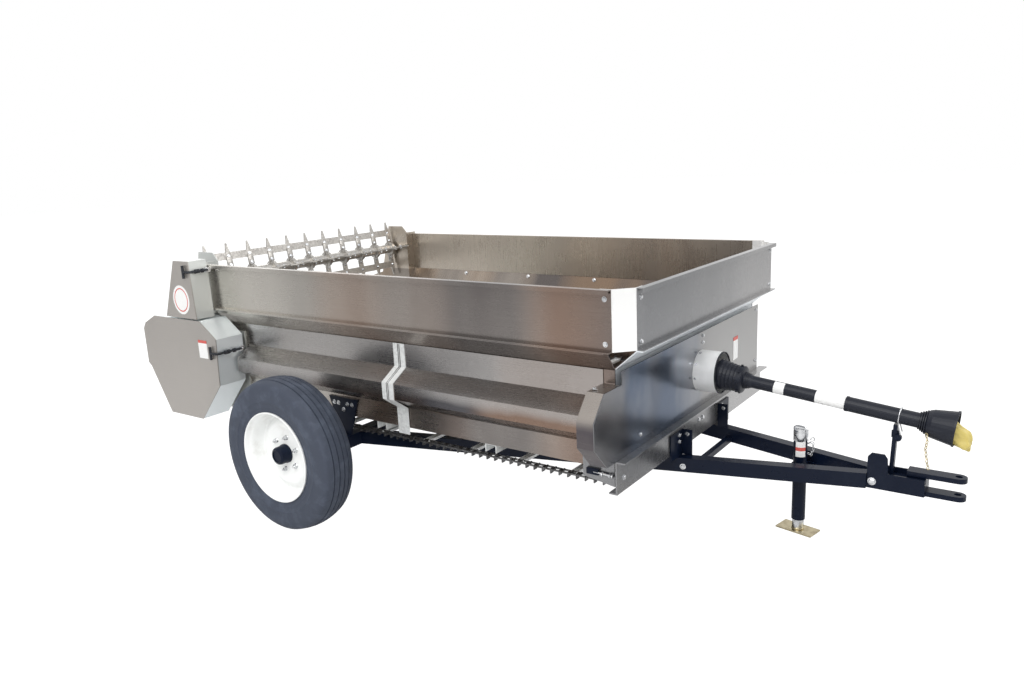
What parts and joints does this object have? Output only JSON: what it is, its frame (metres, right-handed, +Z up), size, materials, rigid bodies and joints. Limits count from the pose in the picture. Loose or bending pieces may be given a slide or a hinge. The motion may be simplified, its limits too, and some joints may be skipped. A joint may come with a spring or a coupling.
{
  "type": "manure spreader",
  "caption": "Towed spreader with a stainless box, apron-chain floor, toothed rear beater, two road wheels, an A-frame drawbar with clevis and jack, and a guarded drive shaft.",
  "frame": {"origin": "middle of the bounding box at ground level", "axes": "+X forward towards the tractor, +Y to the machine's left, +Z up"},
  "size_m": [4.051, 2.396, 1.2508],
  "materials": {
    "stainless": "cold-rolled stainless sheet, mirror-like with fine brushing",
    "galvanised": "galvanised",
    "black_paint": "satin powder coat",
    "white_paint": "satin",
    "tyre": "matt",
    "black_plastic": "satin",
    "yellow_plastic": "satin",
    "steel": "bare steel",
    "zinc_gold": "yellow zinc plating",
    "dark_steel": "oiled steel"
  },
  "bodies": {
    "chassis": {"apron_chain_far": "dark_steel", "apron_chain_near": "dark_steel", "apron_front_shaft": "dark_steel", "apron_rear_shaft": "dark_steel", "axle": "black_paint", "corner_far": "stainless", "corner_near": "stainless", "drive_end_cap": "stainless", "drive_panel": "stainless", "floor": "stainless", "floor_member_1": "galvanised", "floor_member_2": "galvanised", "floor_member_3": "galvanised", "front_cross_member": "stainless", "front_gusset_far": "stainless", "front_gusset_near": "stainless", "hitch_head": "black_paint", "jack_mount": "black_paint", "jack_tube": "black_paint", "pto_can": "stainless", "pto_input_shaft": "steel", "pto_stand": "black_paint", "rail_brace": "black_paint", "rail_bracket_far": "black_paint", "rail_bracket_near": "black_paint", "rail_far": "black_paint", "rail_near": "black_paint", "rear_plate_far": "stainless", "rear_plate_near": "stainless", "shield_front": "stainless", "shield_rear": "stainless", "shield_strap": "galvanised", "side_panel_near": "stainless", "sideboard_far": "stainless", "sideboard_front": "stainless", "sideboard_near": "stainless", "tub_front": "stainless", "tub_side_far": "stainless", "tub_side_near": "stainless"},
    "wheel_near": {"tyre_near": "tyre", "rim_near": "white_paint", "hub_near": "black_paint"},
    "wheel_far": {"tyre_far": "tyre", "rim_far": "white_paint", "hub_far": "black_paint"},
    "beater": {"beater_shaft": "galvanised", "beater_paddle_1": "galvanised", "beater_paddle_2": "galvanised", "beater_paddle_3": "galvanised", "beater_paddle_4": "galvanised"},
    "gear_cover": {"gear_cover": "stainless"},
    "bearing_cover": {"bearing_cover": "stainless"},
    "jack_leg": {"jack_leg": "zinc_gold"},
    "pto_rear": {"pto_guard_rear": "black_plastic"},
    "pto_front": {"pto_guard_front": "black_plastic", "pto_yoke": "yellow_plastic"}
  },
  "joints": [
    {"name": "wheel_near_spin", "type": "hinge", "parent": "chassis", "child": "wheel_near", "pos_m": [-0.63854, -1.112, 0.362], "axis": [0, 1, 0], "continuous": true},
    {"name": "wheel_far_spin", "type": "hinge", "parent": "chassis", "child": "wheel_far", "pos_m": [-0.63854, 1.112, 0.362], "axis": [0, 1, 0], "continuous": true},
    {"name": "beater_spin", "type": "hinge", "parent": "chassis", "child": "beater", "pos_m": [-1.68054, 0, 1.07], "axis": [0, 1, 0], "continuous": true},
    {"name": "gear_cover_hinge", "type": "hinge", "parent": "chassis", "child": "gear_cover", "pos_m": [-2.02554, -0.7855, 0.7], "axis": [0, 0, -1], "range_deg": [0, 100]},
    {"name": "bearing_cover_hinge", "type": "hinge", "parent": "chassis", "child": "bearing_cover", "pos_m": [-1.77354, -0.84, 1], "axis": [0, 0, -1], "range_deg": [0, 100]},
    {"name": "jack_slide", "type": "slide", "parent": "chassis", "child": "jack_leg", "axis": [0, 0, 1], "range_m": [-0.18, 0.035]},
    {"name": "pto_swing", "type": "hinge", "parent": "chassis", "child": "pto_rear", "pos_m": [0.97946, 0, 0.665], "axis": [0, -1, 0], "range_deg": [0, 15]},
    {"name": "pto_extend", "type": "slide", "parent": "pto_rear", "child": "pto_front", "axis": [0.994, 0, -0.1097], "range_m": [-0.05, 0.12]}
  ]
}
